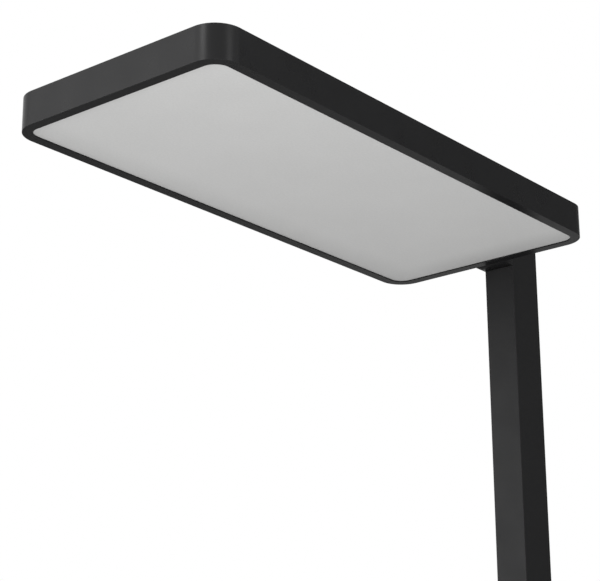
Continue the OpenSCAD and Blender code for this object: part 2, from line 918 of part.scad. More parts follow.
// Flexible jumpers from strip to strip, bent round each middle post
module strip_jumpers() {
    near_x = post_r + jumper_gap;
    far_x = near_x + jumper_t;
    deep = 2 * post_r + post_web + jumper_gap;
    foot_l = strip_gap - jumper_gap - jumper_t;
    color(copper_tone)
        if (post_n > 2)
            for (i = [1 : post_n - 2], sy = [-1, 1])
                translate([post_xs[i], sy * room_w / 2, guide_z])
                    rotate([0, 0, sy > 0 ? 0 : 180])
                        linear_extrude(guide_t * led_band)
                            difference() {
                                union() {
                                    translate([-far_x, -deep - jumper_t])
                                        square([2 * far_x, deep + jumper_t - sheet_gap]);
                                    translate([-far_x - foot_l, -board_t])
                                        square([2 * (far_x + foot_l), board_t - sheet_gap]);
                                }
                                translate([-near_x, -deep])
                                    square([2 * near_x, deep + eps]);
                            }
}

// Tray that presses the sheets on the rim and carries the gear
module gear_tray() {
    color(raw_aluminium)
        difference() {
            translate([0, 0, tray_z])
                linear_extrude(tray_t)
                    difference() {
                        room_outline(sheet_gap, sheet_gap);
                        at_cover_posts()
                            post_notch(sheet_gap);
                        at_tray_posts()
                            circle(small_r + hole_gap);
                        for (sy = [-1, 1])
                            translate([ribbon_land_x, sy * ribbon_end_y])
                                square([ribbon_w + 2 * sheet_gap, 2 * (ribbon_t + sheet_gap)], center = true);
                    }
            for (x = bracket_screw_xs, y = bracket_screw_ys)
                bar_z(tray_z - eps, tray_top + eps, bracket_screw_r + thread_gap, x, y);
            at_driver_screws()
                cylinder(r = small_r + thread_gap, h = tray_t + 2 * eps);
        }
}

// Screws of the tray, into the short posts
module tray_screws() {
    color(steel)
        at_tray_posts()
            translate([0, 0, tray_top])
                pan_screw(small_r, tray_top - guide_z - hole_spare);
}

// ---- Lighting gear ----

// Puts its children at the driver's screws, just below the tray
module at_driver_screws() {
    for (x = [driver_x0 - ear_l / 2, driver_x1 + ear_l / 2], sy = [-1, 1])
        translate([x, sy * driver_screw_y, tray_z - eps])
            children();
}

// Driver that feeds all LED boards, with an ear at each end
module led_driver() {
    color(board_white)
        difference() {
            union() {
                translate([driver_x0, -driver_w / 2, tray_top])
                    cube([driver_l, driver_w, driver_h]);
                translate([driver_x0 - ear_l, -driver_w / 2, tray_top])
                    cube([driver_l + 2 * ear_l, driver_w, ear_t]);
            }
            at_driver_screws()
                cylinder(r = small_r + hole_gap, h = tray_t + ear_t + 2 * eps);
        }
}

// Screws of the driver, into the tray
module driver_screws() {
    color(steel)
        at_driver_screws()
            translate([0, 0, tray_t + ear_t + eps])
                pan_screw(small_r, tray_t + ear_t);
}

// Terminal block where the mains lead ends and the driver's lead starts
module terminal_block() {
    poles = 3;
    pole_r = 1.5;
    pole_depth = 3;
    block_top = neck_z + terminal_rise;
    color(board_white)
        difference() {
            translate([terminal_x0, terminal_y0, tray_top])
                cube([terminal_l, terminal_w, block_top - tray_top]);
            for (i = [0 : poles - 1], x = [terminal_x0 + terminal_l / 4, terminal_x1 - terminal_l / 4])
                bar_z(block_top - pole_depth, block_top + eps, pole_r,
                    x, terminal_y0 + terminal_w * (i + 0.5) / poles);
        }
}

// Uplight boards on the tray, one on each side of the driver
module uplight_boards() {
    color(board_white)
        for (sy = [-1, 1])
            translate([head_cx, sy * up_y, tray_top]) {
                translate([-up_l / 2, -up_w / 2, 0])
                    cube([up_l, up_w, board_t]);
                for (row = [-1, 1])
                    translate([0, row * up_w / 4, board_t])
                        led_row(up_led_n, led_w);
            }
}

// The uplight windows' outlines, grown by a margin
module window_outline(grow) {
    for (sy = [-1, 1])
        translate([head_cx, sy * up_y])
            rounded_rect(
                up_l + 2 * (window_margin + grow),
                up_w + 2 * (window_margin + grow),
                window_margin + grow
            );
}

// Opal lenses bonded below the windows in the top cover
module uplight_lenses() {
    color(opal)
        translate([0, 0, lens_z])
            linear_extrude(lens_t)
                intersection() {
                    window_outline(lens_ledge);
                    translate([head_cx, 0])
                        square([head_l, 2 * (post_y - post_r - sheet_gap)], center = true);
                }
}

// Top cover, flush with the frame's upper edge
module top_cover() {
    color(black)
        difference() {
            translate([0, 0, cover_z])
                linear_extrude(cover_t)
                    difference() {
                        room_outline(sheet_gap, sheet_gap);
                        window_outline(0);
                    }
            at_cover_posts()
                translate([0, 0, lamp_h])
                    sunk_hole(small_r, cover_t + eps);
        }
}

// Countersunk screws of the top cover, into the tall posts
module cover_screws() {
    color(black)
        at_cover_posts()
            translate([0, 0, lamp_h])
                sunk_screw(small_r, cover_t + screw_depth);
}

// ---- Leads ----

// A lead's run up the mast from z, over a bend and along the cable way to x in the head
module mast_run(z, x, y, r) {
    bar_z(z, lead_top_z, r, lead_x, y);
    bend_xz(lead_x - lead_bend, y, lead_top_z, lead_bend, r, 0);
    bar_x(x, lead_x - lead_bend, r, y, neck_z);
}

// Mains lead from the connector in the foot to the terminal block in the head
module mains_lead() {
    color(dark_plastic)
        mast_run(connector_top, terminal_x1, mains_y, mains_r);
}

// Control lead from the control's housing to the driver
module control_lead() {
    bend_x = lead_x - control_lead_bend;
    bend_z = control_lead_z + control_lead_bend;
    color(dark_plastic) {
        bar_x(housing_x1, bend_x, control_lead_r, control_y, control_lead_z);
        bend_xz(bend_x, control_y, bend_z, control_lead_bend, control_lead_r, -90);
        mast_run(bend_z, driver_x1, control_y, control_lead_r);
    }
}

// Lead from the terminal block to the driver
module driver_lead() {
    color(dark_plastic)
        bar_x(driver_x1, terminal_x0, driver_lead_r, driver_lead_y, driver_lead_z);
}

// Flat leads from the driver to the first strip on each side, round the ends of the uplight boards
module strip_leads() {
    color(copper_tone)
        for (sy = [0, 1])
            mirror([0, sy, 0]) {
                ribbon_along_x(ribbon_x, driver_x0 - ribbon_w / 2, ribbon_y);
                ribbon_along_y(ribbon_y, ribbon_run_y, ribbon_x);
                ribbon_along_x(ribbon_land_x, ribbon_x, ribbon_run_y);
                translate([ribbon_land_x - ribbon_w / 2, ribbon_run_y, ribbon_z])
                    cube([ribbon_w, ribbon_end_y - ribbon_run_y, ribbon_t]);
                translate([ribbon_land_x - ribbon_w / 2, ribbon_end_y - ribbon_t, tray_z])
                    cube([ribbon_w, ribbon_t, ribbon_z + ribbon_t - tray_z]);
            }
}

// A stretch of flat lead along X, which reaches half its width past both places
module ribbon_along_x(xa, xb, y) {
    translate([min(xa, xb) - ribbon_w / 2, y - ribbon_w / 2, ribbon_z])
        cube([abs(xb - xa) + ribbon_w, ribbon_w, ribbon_t]);
}

// A stretch of flat lead along Y, which reaches half its width past both places
module ribbon_along_y(ya, yb, x) {
    translate([x - ribbon_w / 2, min(ya, yb) - ribbon_w / 2, ribbon_z])
        cube([ribbon_w, abs(yb - ya) + ribbon_w, ribbon_t]);
}

// ---- Control ----

// Puts its children at the control's middle
module at_control() {
    translate([0, 0, control_z])
        children();
}

// Housing in the mast's window that holds the circuit board
module control_housing() {
    color(dark_plastic)
        difference() {
            at_control()
                along_x(mast_x0, housing_x1)
                    rounded_rect(housing_w, housing_h, housing_r);
            at_control()
                along_x(mast_x0 - eps, board_x1)
                    square([housing_w - 2 * housing_t, housing_h - 2 * housing_t], center = true);
            bar_x(board_x1 - eps, housing_x1 + eps,
                control_lead_r * control_cores, control_y, control_lead_z);
        }
}

// Fascia on the front of the mast, with an opening for each key
module control_fascia() {
    color(dark_plastic)
        difference() {
            at_control()
                along_x(mast_x0 - fascia_t, mast_x0)
                    rounded_rect(control_w + 2 * fascia_lip, control_h + 2 * fascia_lip,
                        control_corner_r + fascia_lip);
            for (z = key_zs)
                translate([0, 0, z])
                    along_x(mast_x0 - fascia_t - eps, mast_x0 + eps)
                        rounded_rect(key_w + 2 * key_gap, key_h + 2 * key_gap, key_r + key_gap);
            bar_x(mast_x0 - fascia_t - eps, mast_x0 + eps, status_r + status_gap, 0, status_z);
        }
}

// Circuit board of the control, with a few of its larger components
module control_board() {
    chip = [1.2, 7, 7];
    socket = [3, 9, 5];
    color(board_green) {
        at_control()
            along_x(board_x0, board_x1)
                square([control_board_w, control_board_h], center = true);
        translate([board_x0 - chip[0], -chip[1] / 2, control_z + key_pitch / 2 - chip[2] / 2])
            cube(chip);
        translate([board_x0 - socket[0], -socket[1] / 2, control_z - key_pitch / 2 - socket[2] / 2])
            cube(socket);
    }
}

// Key switches on the board, each with a bore that its key's stem runs in
module key_switches() {
    color(steel)
        for (z = key_zs)
            difference() {
                translate([switch_x0, -switch_w / 2, z - switch_w / 2])
                    cube([switch_h, switch_w, switch_w]);
                bar_x(switch_x0 - eps, switch_bore_x1, key_stem_r + stem_gap, 0, z);
            }
}

// Light pipe of the status light, from the board to the fascia's face
module status_light() {
    color(opal) {
        bar_x(mast_x0 - fascia_t, board_x0, status_r, 0, status_z);
        bar_x(mast_x0, mast_x0 + status_flange, status_r + status_flange, 0, status_z);
    }
}

// A key: its cap through the fascia, the flange behind it and the stem to the switch
module key_body(z) {
    cap_x0 = mast_x0 - fascia_t - key_proud;
    flange_x1 = key_flange_x0 + key_flange_t;
    translate([0, 0, z]) {
        along_x(cap_x0, flange_x1)
            rounded_rect(key_w, key_h, key_r);
        along_x(key_flange_x0, flange_x1)
            rounded_rect(key_w + 2 * key_flange, key_h + 2 * key_flange, key_r);
        bar_x(flange_x1 - key_flange_t / 2, switch_x0 + stem_entry, key_stem_r, 0, 0);
    }
}

// Key that makes the light brighter
module brighter_key() {
    color(dark_plastic)
        key_body(key_zs[0]);
}

// Key that switches the light on and off
module power_key() {
    color(dark_plastic)
        key_body(key_zs[1]);
}

// Key that makes the light dimmer
module dimmer_key() {
    color(dark_plastic)
        key_body(key_zs[2]);
}

base_plate();
base_glides();
foot_block();
foot_screws();
grub_screws();
cable_gland();
gland_nut();
mast_tube();
mast_cap();
mast_head_block();
neck();
neck_screws();
head_bracket();
bracket_screws();
head_frame();
light_panel();
light_guide();
reflector_sheet();
led_strips();
strip_jumpers();
gear_tray();
tray_screws();
led_driver();
driver_screws();
terminal_block();
uplight_boards();
uplight_lenses();
top_cover();
cover_screws();
mains_lead();
control_lead();
driver_lead();
strip_leads();
lead_connector();
control_housing();
control_fascia();
control_board();
key_switches();
status_light();
brighter_key();
power_key();
dimmer_key();
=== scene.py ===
import json
import math

import bmesh
import bpy
from mathutils import Matrix, Vector


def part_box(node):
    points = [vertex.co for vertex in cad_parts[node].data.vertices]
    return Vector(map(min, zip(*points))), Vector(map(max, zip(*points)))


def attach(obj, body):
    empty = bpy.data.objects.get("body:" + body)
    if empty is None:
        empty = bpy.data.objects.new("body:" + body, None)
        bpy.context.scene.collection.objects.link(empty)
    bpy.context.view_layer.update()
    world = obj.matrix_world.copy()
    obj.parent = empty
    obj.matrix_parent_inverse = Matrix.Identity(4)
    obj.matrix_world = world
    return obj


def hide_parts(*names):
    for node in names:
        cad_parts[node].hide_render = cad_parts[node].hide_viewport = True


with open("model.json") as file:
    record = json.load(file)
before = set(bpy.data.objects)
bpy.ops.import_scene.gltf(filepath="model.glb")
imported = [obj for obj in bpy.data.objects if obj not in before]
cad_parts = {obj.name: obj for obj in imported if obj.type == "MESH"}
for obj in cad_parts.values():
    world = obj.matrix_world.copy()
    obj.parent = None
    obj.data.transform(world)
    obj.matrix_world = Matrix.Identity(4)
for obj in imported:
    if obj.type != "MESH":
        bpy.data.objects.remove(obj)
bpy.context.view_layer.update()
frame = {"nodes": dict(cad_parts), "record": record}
nodes = frame["nodes"]

MM = 0.001
QUARTER = math.pi / 2  # a quarter turn

# ---- Sizes that the frame's boxes don't give ----
HEAD_R = 30 * MM  # corner radius of the head in plan
RIM_W = 12 * MM  # of the flat rim below the light panel
RIM_T = 1.4 * MM
RIM_R = 16 * MM  # corner radius of the opening in the rim
FRAME_T = 3 * MM  # wall of the head's frame
SHEET_GAP = 0.3 * MM  # between the top cover and the frame
WINDOW = (516 * MM, 52 * MM, 8 * MM)  # length, width and corner radius of an uplight window
WINDOW_Y = 86 * MM  # from the head's middle to that of a window
SINK_GAP = 0.12 * MM  # round the heads of countersunk screws

MAST_R = 0.8 * MM  # outer corners of the mast
MAST_T = 2 * MM
MAST_INNER_R = 0.2 * MM
MAST_STEPS = 6  # in a corner of the mast
CONTROL_SLOT = (24 * MM, 100 * MM, 3 * MM)  # width, height and corner radius of the mast's opening
NECK_BORE_R = 6 * MM
NECK_HOLE_R = 2.75 * MM
NECK_HOLE_Y = 12 * MM  # to either side of the bore
NECK_HOLE_Z = 5 * MM  # above and below the bore
GRUB_GAP = 0.15 * MM  # round the grub screws

BASE_R = 30 * MM  # outer corners of the base plate and of its legs
NOTCH_R = 20 * MM  # inner corners of the notch between the base plate's legs
NOTCH_L = 240 * MM
LEG_W = 75 * MM
FOOT_HOLE_R = 4.05 * MM  # round the foot screws' shanks
GLIDE_EDGE = 0.5 * MM
GLIDE_RING_W = 3 * MM  # of the flat ring round the hollow below a glide
GLIDE_DISH = 0.6 * MM  # depth of that hollow
GLIDE_SLOPE = 0.01 * MM  # keeps the two fillets of the hollow's wall apart
GLIDE_LAND = 1.5 * MM  # flat ring inside that wall

GLAND_R = 9 * MM  # to the corners of its hexagon
GLAND_CORNER_R = 0.5 * MM
GLAND_HEX_L = 3.6 * MM
GLAND_BORE_R = 3.6 * MM
GLAND_NECK_R = 6 * MM  # where it goes through the mast's wall
GLAND_EDGE = 0.3 * MM
GLAND_LAND = 1 * MM  # flat ring on the hexagon, and plain ring between the nut's flutes and its dome
NUT_STEP = 0.4 * MM  # from the hexagon's corners in to the nut
NUT_DOME_R = 3 * MM
NUT_DOME_STEPS = 8
NUT_FLUTES = 24
NUT_FLUTE_DEPTH = 0.5 * MM
SEAL_T = 1 * MM
SEAL_SINK = 0.6 * MM  # from the gland's end to the crest of the seal's lip
SEAL_FALL = 0.2 * MM  # how far the lip falls away at its outside, which is half as far as by the bore

FASCIA_R = 6 * MM
STATUS_R = 1.3 * MM
KEY_W = 16 * MM
KEY_H = 22 * MM
KEY_R = 3 * MM
KEY_GAP = 0.3 * MM  # round a key in the fascia, and between its flange and the mast
KEY_EDGE = 0.5 * MM
KEY_LAND = 1.2 * MM  # width of the flat border round a cap's hollow
KEY_DISH = 0.35 * MM  # depth of that hollow
KEY_DISH_W = 3 * MM  # width of its slope
KEY_DISH_STEPS = 6
KEY_INNER_R = 0.4 * MM  # least corner radius inside a cap's outline
KEY_R_FALL = 0.35  # share of the inset by which that radius shrinks
KEY_FLANGE_T = 1 * MM
KEY_STEM_R = 1.6 * MM
MARK_W = 1.0 * MM  # of a mark's lines
MARK_REACH = 3 * MM  # from the middle of a mark to the end of its arm
MARK_SINK = 0.06 * MM  # how deep a mark is set in its key
MARK_PROUD = 0.03 * MM
MARK_ROUND = 0.3  # radius at the ends of an arm, as a share of its width
MARK_HOLLOW_R = 0.1 * MM  # in the inner corners of the plus
POWER_R = 2.4 * MM  # inner radius of the power mark's ring
POWER_HALF_GAP = math.radians(32)
POWER_BAR = (0.3 * MM, 3.8 * MM)  # heights of its bar's two ends above the ring's centre
POWER_STEPS = 40

SOFT_EDGE = 0.35 * MM  # fillet of the outer edges of head, neck and cap
PLATE_EDGE = 1.2 * MM  # fillet of the base plate's upper edge
FINE_EDGE = 0.25 * MM  # fillet of inner edges and of thin sheets
ARC_STEPS = 20  # steps in a round corner in plan
EDGE_STEPS = 5  # steps in a fillet
WELD = 1e-6  # metres: points of a mesh that lie nearer to each other are joined
NO_LENGTH = 1e-7  # metres: shorter edges of a mesh are dropped
WEAR_AND_SHEEN = "edge_wear_and_sheen"  # point attribute: 1 on the crest of a fillet, 0 on flat faces; the materials paint wear and a painted highlight along it


# ---- Camera: the photograph's viewpoint ----
CAMERA_AT = (-1.7616, -1.1090, 1.2179)  # metres
CAMERA_AZIMUTH = math.radians(39.419)  # of the line of sight, from +X towards +Y
CAMERA_PITCH = math.radians(18.103)
CAMERA_ROLL = math.radians(-0.2764)
LENS = 105.41  # millimetres
SENSOR_W = 36  # millimetres


def make_camera():
    data = bpy.data.cameras.new("camera")
    data.lens = LENS
    data.sensor_width = SENSOR_W
    camera = bpy.data.objects.new("camera", data)
    bpy.context.scene.collection.objects.link(camera)
    ahead = Vector((
        math.cos(CAMERA_PITCH) * math.cos(CAMERA_AZIMUTH),
        math.cos(CAMERA_PITCH) * math.sin(CAMERA_AZIMUTH),
        math.sin(CAMERA_PITCH),
    ))
    level = ahead.cross(Vector((0, 0, 1))).normalized()
    right = math.cos(CAMERA_ROLL) * level + math.sin(CAMERA_ROLL) * level.cross(ahead)
    up = right.cross(ahead)
    camera.matrix_world = Matrix.Translation(CAMERA_AT) @ Matrix((right, up, -ahead)).transposed().to_4x4()
    bpy.context.scene.camera = camera


# ---- Light and floor ----
WORLD_STRENGTH = 0.85
FLOOR_TONE = (0.45, 0.45, 0.45)  # of the light that the floor throws back
FLOOR_HAZE = 0.5  # share of plain white in what the floor near the lamp looks like
FLOOR_FADE = (1, 10)  # metres from the lamp, between which the floor fades into plain white
FLOOR_SIZE = 120  # metres
HEAD_AIM = (-0.7, -0.1, 1.9)  # what the softboxes point at
MAST_AIM = (0, 0, 1.8)


def add_softbox(name, at, width, height, radiance, aim=HEAD_AIM):
    """A rectangular lamp of an even radiance, out of the camera's sight."""
    data = bpy.data.lights.new(name, "AREA")
    data.shape = "RECTANGLE"
    data.size = width
    data.size_y = height
    data.energy = radiance * math.pi * width * height
    lamp = bpy.data.objects.new(name, data)
    lamp.location = at
    lamp.rotation_mode = "QUATERNION"
    lamp.rotation_quaternion = (Vector(aim) - Vector(at)).to_track_quat("-Z", "Y")
    lamp.visible_camera = False
    bpy.context.scene.collection.objects.link(lamp)


def seen_directly(tree):
    """1 for what looks straight at a surface or shows it in a reflection, 0 for the light that it
    throws back."""
    path = tree.nodes.new("ShaderNodeLightPath")
    seen = path.outputs["Is Camera Ray"]
    for ray in ("Is Glossy Ray", "Is Transmission Ray"):
        seen = math_node(tree, "MAXIMUM", seen, path.outputs[ray])
    return seen


def mixed(tree, share, first, second):
    """A shader between two others."""
    mix = tree.nodes.new("ShaderNodeMixShader")
    tree.links.new(share, mix.inputs[0])
    tree.links.new(first, mix.inputs[1])
    tree.links.new(second, mix.inputs[2])
    return mix.outputs[0]


def make_world():
    """Soft white light all round, and plain white for what looks straight at it or reflects it."""
    world = bpy.data.worlds.new("studio")
    bpy.context.scene.world = world
    world.use_nodes = True
    tree = world.node_tree
    tree.nodes.clear()
    light, white = (tree.nodes.new("ShaderNodeBackground") for _ in range(2))
    light.inputs["Strength"].default_value = WORLD_STRENGTH
    white.inputs["Strength"].default_value = 1
    for background in (light, white):
        background.inputs["Color"].default_value = (1, 1, 1, 1)
    output = tree.nodes.new("ShaderNodeOutputWorld")
    sky = mixed(tree, seen_directly(tree), light.outputs[0], white.outputs[0])
    tree.links.new(sky, output.inputs["Surface"])


def make_floor():
    """Pale floor that fades into the white round it. It doesn't show from below, so that the lamp's
    underside can be looked at."""
    bpy.ops.mesh.primitive_plane_add(size=FLOOR_SIZE)
    floor = bpy.context.object
    floor.name = "floor"
    mat = bpy.data.materials.new("pale_floor")
    mat.use_nodes = True
    tree = mat.node_tree
    tree.nodes.clear()
    diffuse = tree.nodes.new("ShaderNodeBsdfDiffuse")
    diffuse.inputs["Color"].default_value = (*FLOOR_TONE, 1)
    white = tree.nodes.new("ShaderNodeEmission")
    clear = tree.nodes.new("ShaderNodeBsdfTransparent")
    place = tree.nodes.new("ShaderNodeNewGeometry")
    distance = tree.nodes.new("ShaderNodeVectorMath")
    distance.operation = "LENGTH"
    tree.links.new(place.outputs["Position"], distance.inputs[0])
    haze = value_range(tree, distance.outputs["Value"], *FLOOR_FADE, FLOOR_HAZE, 1, smooth=True)
    share = math_node(tree, "MULTIPLY", seen_directly(tree), haze)
    top = mixed(tree, share, diffuse.outputs[0], white.outputs[0])
    output = tree.nodes.new("ShaderNodeOutputMaterial")
    tree.links.new(mixed(tree, place.outputs["Backfacing"], top, clear.outputs[0]), output.inputs["Surface"])
    floor.data.materials.append(mat)


def add_flag(name, at, rotation, size, tones, fade=(-0.5, 0.5)):
    """A grey screen that only shows in the lamp's own reflections. Its tone changes across it, between
    two shares of its width."""
    bpy.ops.mesh.primitive_plane_add(size=1, location=at, rotation=rotation)
    flag = bpy.context.object
    flag.name = name
    flag.scale = (*size, 1)
    flag.visible_camera = False
    flag.visible_diffuse = False
    flag.visible_shadow = False
    mat = bpy.data.materials.new(name)
    mat.use_nodes = True
    tree = mat.node_tree
    shader = tree.nodes["Principled BSDF"]
    shader.inputs["Roughness"].default_value = 1
    place = tree.nodes.new("ShaderNodeSeparateXYZ")
    tree.links.new(tree.nodes.new("ShaderNodeTexCoord").outputs["Object"], place.inputs[0])
    tree.links.new(value_range(tree, place.outputs["Y"], *fade, *tones), shader.inputs["Base Color"])
    flag.data.materials.append(mat)


def make_flags():
    add_flag("rear_flag", at=(2.0, -1.4, 2.0), rotation=(0, math.radians(90), 0), size=(4.0, 3.4),
             tones=(0.16, 0.16))
    add_flag("floor_flag", at=(4.74, 4.05, 0.02), rotation=(0, 0, math.radians(38.5)), size=(12, 6),
             tones=(0.5, 0.18), fade=(-0.12, 0.12))


def make_lights():
    add_softbox("key_softbox", at=(-3.31, 1.42, 2.6), width=2.7, height=2.8, radiance=2)
    add_softbox("edge_strip", at=(-3.3, 0.05, 3.05), width=0.75, height=1.8, radiance=8.5)
    add_softbox("side_softbox", at=(-0.6, -2.9, 3.2), width=0.9, height=1.8, radiance=3)
    add_softbox("panel_softbox", at=(-1.45, -1.17, 1.1), width=0.8, height=0.6, radiance=12)
    add_softbox("mast_softbox", at=(-2.9, 1.9, 1.5), width=1.6, height=0.6, radiance=10.5, aim=MAST_AIM)


# ---- Materials ----
NOISE_SPAN = (0.3, 0.7)  # nearly all of a noise lies between these
GLOSS_FINER = 3  # the patches of the gloss are so many times as fine as those of the tone
SHEEN_AND_WEAR_SCALE = 160  # patches a metre in the wear and painted highlight of the edges
SHEEN_AND_WEAR_LEAST = 0.2
WEAR_GLOSS = 0.06  # by how much full wear lowers the roughness
PANEL_SHADE_END_W = 60 * MM  # width of the painted shade at the light panel's end, from the outside of the head
PANEL_END_SHADE = (0.04, 0.18)  # share of painted shade at that end, by the side and by the neck
PANEL_SHADE_SIDE_W = 61 * MM  # the same for the painted shade along one side
# share of the colour that the painted shade leaves at that side
PANEL_SIDE_SHADE = 0.905


def math_node(tree, operation, a, b):
    node = tree.nodes.new("ShaderNodeMath")
    node.operation = operation
    for socket, value in zip(node.inputs, (a, b)):
        if isinstance(value, (int, float)):
            socket.default_value = value
        else:
            tree.links.new(value, socket)
    return node.outputs[0]


def value_range(tree, value, start, end, low, high, smooth=False):
    """Maps a value that runs from start to end to the range from low to high."""
    ramp = tree.nodes.new("ShaderNodeMapRange")
    ramp.interpolation_type = "SMOOTHSTEP" if smooth else "LINEAR"
    for socket, number in zip(("From Min", "From Max", "To Min", "To Max"), (start, end, low, high)):
        ramp.inputs[socket].default_value = number
    tree.links.new(value, ramp.inputs["Value"])
    return ramp.outputs["Result"]


def value_noise(tree, coords, scale, low, high, detail=2):
    """A noise of so many bumps a metre, mapped to the range from low to high."""
    noise = tree.nodes.new("ShaderNodeTexNoise")
    noise.inputs["Scale"].default_value = scale
    noise.inputs["Detail"].default_value = detail
    tree.links.new(coords, noise.inputs["Vector"])
    return value_range(tree, noise.outputs["Fac"], *NOISE_SPAN, low, high)


def shaded(tree, colour, factor):
    """A colour times a grey factor."""
    node = tree.nodes.new("ShaderNodeVectorMath")
    node.operation = "SCALE"
    node.inputs[0].default_value = colour
    tree.links.new(factor, node.inputs["Scale"])
    return node.outputs[0]


def surface(name, colour, roughness, metallic=0.0, specular=0.5, tone=0.06, tone_scale=9, grain=700,
            grain_tone=None, grain_depth=0.01 * MM, rough_spread=0.05, wear_and_sheen=0.0, edges=None):
    """A material with an uneven tone, a fine grain in its tone and relief, wear with a painted highlight on
    its fillets, and painted shade from the function given as edges.
    """
    mat = bpy.data.materials.new(name)
    mat.use_nodes = True
    tree = mat.node_tree
    shader = tree.nodes["Principled BSDF"]
    shader.inputs["Metallic"].default_value = metallic
    shader.inputs["Specular IOR Level"].default_value = specular
    coords = tree.nodes.new("ShaderNodeTexCoord").outputs["Object"]

    broad = value_noise(tree, coords, tone_scale, 1 - tone, 1 + tone, detail=3)
    spread = tone / 2 if grain_tone is None else grain_tone
    fine = value_noise(tree, coords, grain, 1 - spread, 1 + spread)
    factor = math_node(tree, "MULTIPLY", broad, fine)
    gloss = value_noise(tree, coords, tone_scale * GLOSS_FINER, roughness - rough_spread,
                        roughness + rough_spread, detail=4)
    # lighter colour on fillet crests: wear and a painted highlight
    if wear_and_sheen:
        crest = tree.nodes.new("ShaderNodeAttribute")
        crest.attribute_name = WEAR_AND_SHEEN
        patches = value_noise(tree, coords, SHEEN_AND_WEAR_SCALE, SHEEN_AND_WEAR_LEAST, 1, detail=3)
        worn_and_sheen = math_node(tree, "MULTIPLY", crest.outputs["Fac"], patches)
        wear_and_sheen_lift = math_node(tree, "ADD", 1, math_node(tree, "MULTIPLY", worn_and_sheen, wear_and_sheen))
        factor = math_node(tree, "MULTIPLY", factor, wear_and_sheen_lift)
        gloss = math_node(tree, "SUBTRACT", gloss, math_node(tree, "MULTIPLY", worn_and_sheen, WEAR_GLOSS))
    # painted shade from the function given as edges
    if edges:
        factor = math_node(tree, "MULTIPLY", factor, edges(tree, coords))
    tree.links.new(shaded(tree, colour, factor), shader.inputs["Base Color"])
    tree.links.new(gloss, shader.inputs["Roughness"])

    bump = tree.nodes.new("ShaderNodeBump")
    bump.inputs["Distance"].default_value = grain_depth
    tree.links.new(value_noise(tree, coords, grain, 0, 1), bump.inputs["Height"])
    tree.links.new(bump.outputs["Normal"], shader.inputs["Normal"])
    return mat


def panel_painted_shade(tree, coords):
    """Painted shade on the light panel: it is a little darker where it nears the frame at one side and at the
    mast's end, there most of all by the neck."""
    split = tree.nodes.new("ShaderNodeSeparateXYZ")
    tree.links.new(coords, split.inputs[0])
    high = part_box("head_frame")[1]
    near_shaded_end = value_range(tree, split.outputs["X"], high.x - PANEL_SHADE_END_W, high.x - RIM_W, 0, 1, smooth=True)
    end_shade = value_range(tree, split.outputs["Y"], high.y, 0, *PANEL_END_SHADE, smooth=True)
    end = math_node(tree, "SUBTRACT", 1, math_node(tree, "MULTIPLY", near_shaded_end, end_shade))
    side = value_range(tree, split.outputs["Y"], high.y - PANEL_SHADE_SIDE_W, high.y - RIM_W, 1, PANEL_SIDE_SHADE,
                       smooth=True)
    return math_node(tree, "MULTIPLY", end, side)


def make_materials():
    # the coat and the black plastic are lighter on their fillets' crests: wear and a painted highlight
    coat = {"tone": 0.05, "grain": 900, "grain_depth": 0.006 * MM, "wear_and_sheen": 0.5}
    return {
        "powder_black": surface("satin_powder_coat", (0.011, 0.011, 0.0114), 0.3, specular=0.105, **coat),
        "mast_black": surface("mast_powder_coat", (0.0104, 0.0104, 0.0108), 0.5, specular=0.13, **coat),
        "lens_opal": surface("opal_lens", (0.78, 0.78, 0.77), 0.3, tone=0.015, grain=500,
                             grain_depth=0.002 * MM),
        "guide_acrylic": surface("clear_guide", (0.80, 0.83, 0.83), 0.12, tone=0.01, grain_depth=0.001 * MM),
        "white_sheet": surface("white_film", (0.85, 0.85, 0.84), 0.6, tone=0.02, grain_depth=0.003 * MM),
        "steel": surface("zinc_plated_steel", (0.50, 0.51, 0.53), 0.34, metallic=1, tone=0.08, tone_scale=40,
                         grain=1800, grain_depth=0.004 * MM, rough_spread=0.08),
        "aluminium": surface("mill_aluminium", (0.70, 0.71, 0.72), 0.38, metallic=1, tone=0.04, tone_scale=25,
                             grain=1500, grain_depth=0.004 * MM, rough_spread=0.06),
        "black_plastic": surface("textured_black_plastic", (0.020, 0.020, 0.021), 0.5, specular=0.3,
                                 tone=0.05, grain=1600, grain_depth=0.012 * MM, wear_and_sheen=0.3),
        "rubber": surface("matt_rubber", (0.022, 0.022, 0.022), 0.8, specular=0.25, tone=0.1, grain=1100,
                          grain_depth=0.02 * MM),
        "board": surface("white_solder_mask", (0.75, 0.76, 0.74), 0.35, tone=0.02, grain_depth=0.002 * MM),
        "board_green": surface("green_solder_mask", (0.02, 0.12, 0.05), 0.3, tone=0.05,
                               grain_depth=0.003 * MM),
        "white_case": surface("white_case", (0.74, 0.74, 0.72), 0.42, tone=0.02, grain=1300,
                              grain_depth=0.004 * MM),
        "lead_black": surface("lead_sheath", (0.02, 0.02, 0.021), 0.55, specular=0.35, tone=0.05),
        "flex": surface("orange_flex", (0.45, 0.17, 0.04), 0.4, tone=0.05, grain_depth=0.003 * MM),
        "light_pipe": surface("frosted_pipe", (0.62, 0.64, 0.64), 0.35, tone=0.02, grain_depth=0.002 * MM),
        # the panel gets painted shade near the frame at one side and at the mast's end
        "panel_opal": surface("prismatic_panel_painted_shade", (0.6, 0.6, 0.595), 0.6, specular=0.15, tone=0.012,
                              tone_scale=14, grain=420, grain_tone=0.025, grain_depth=0.03 * MM,
                              edges=panel_painted_shade),
    }


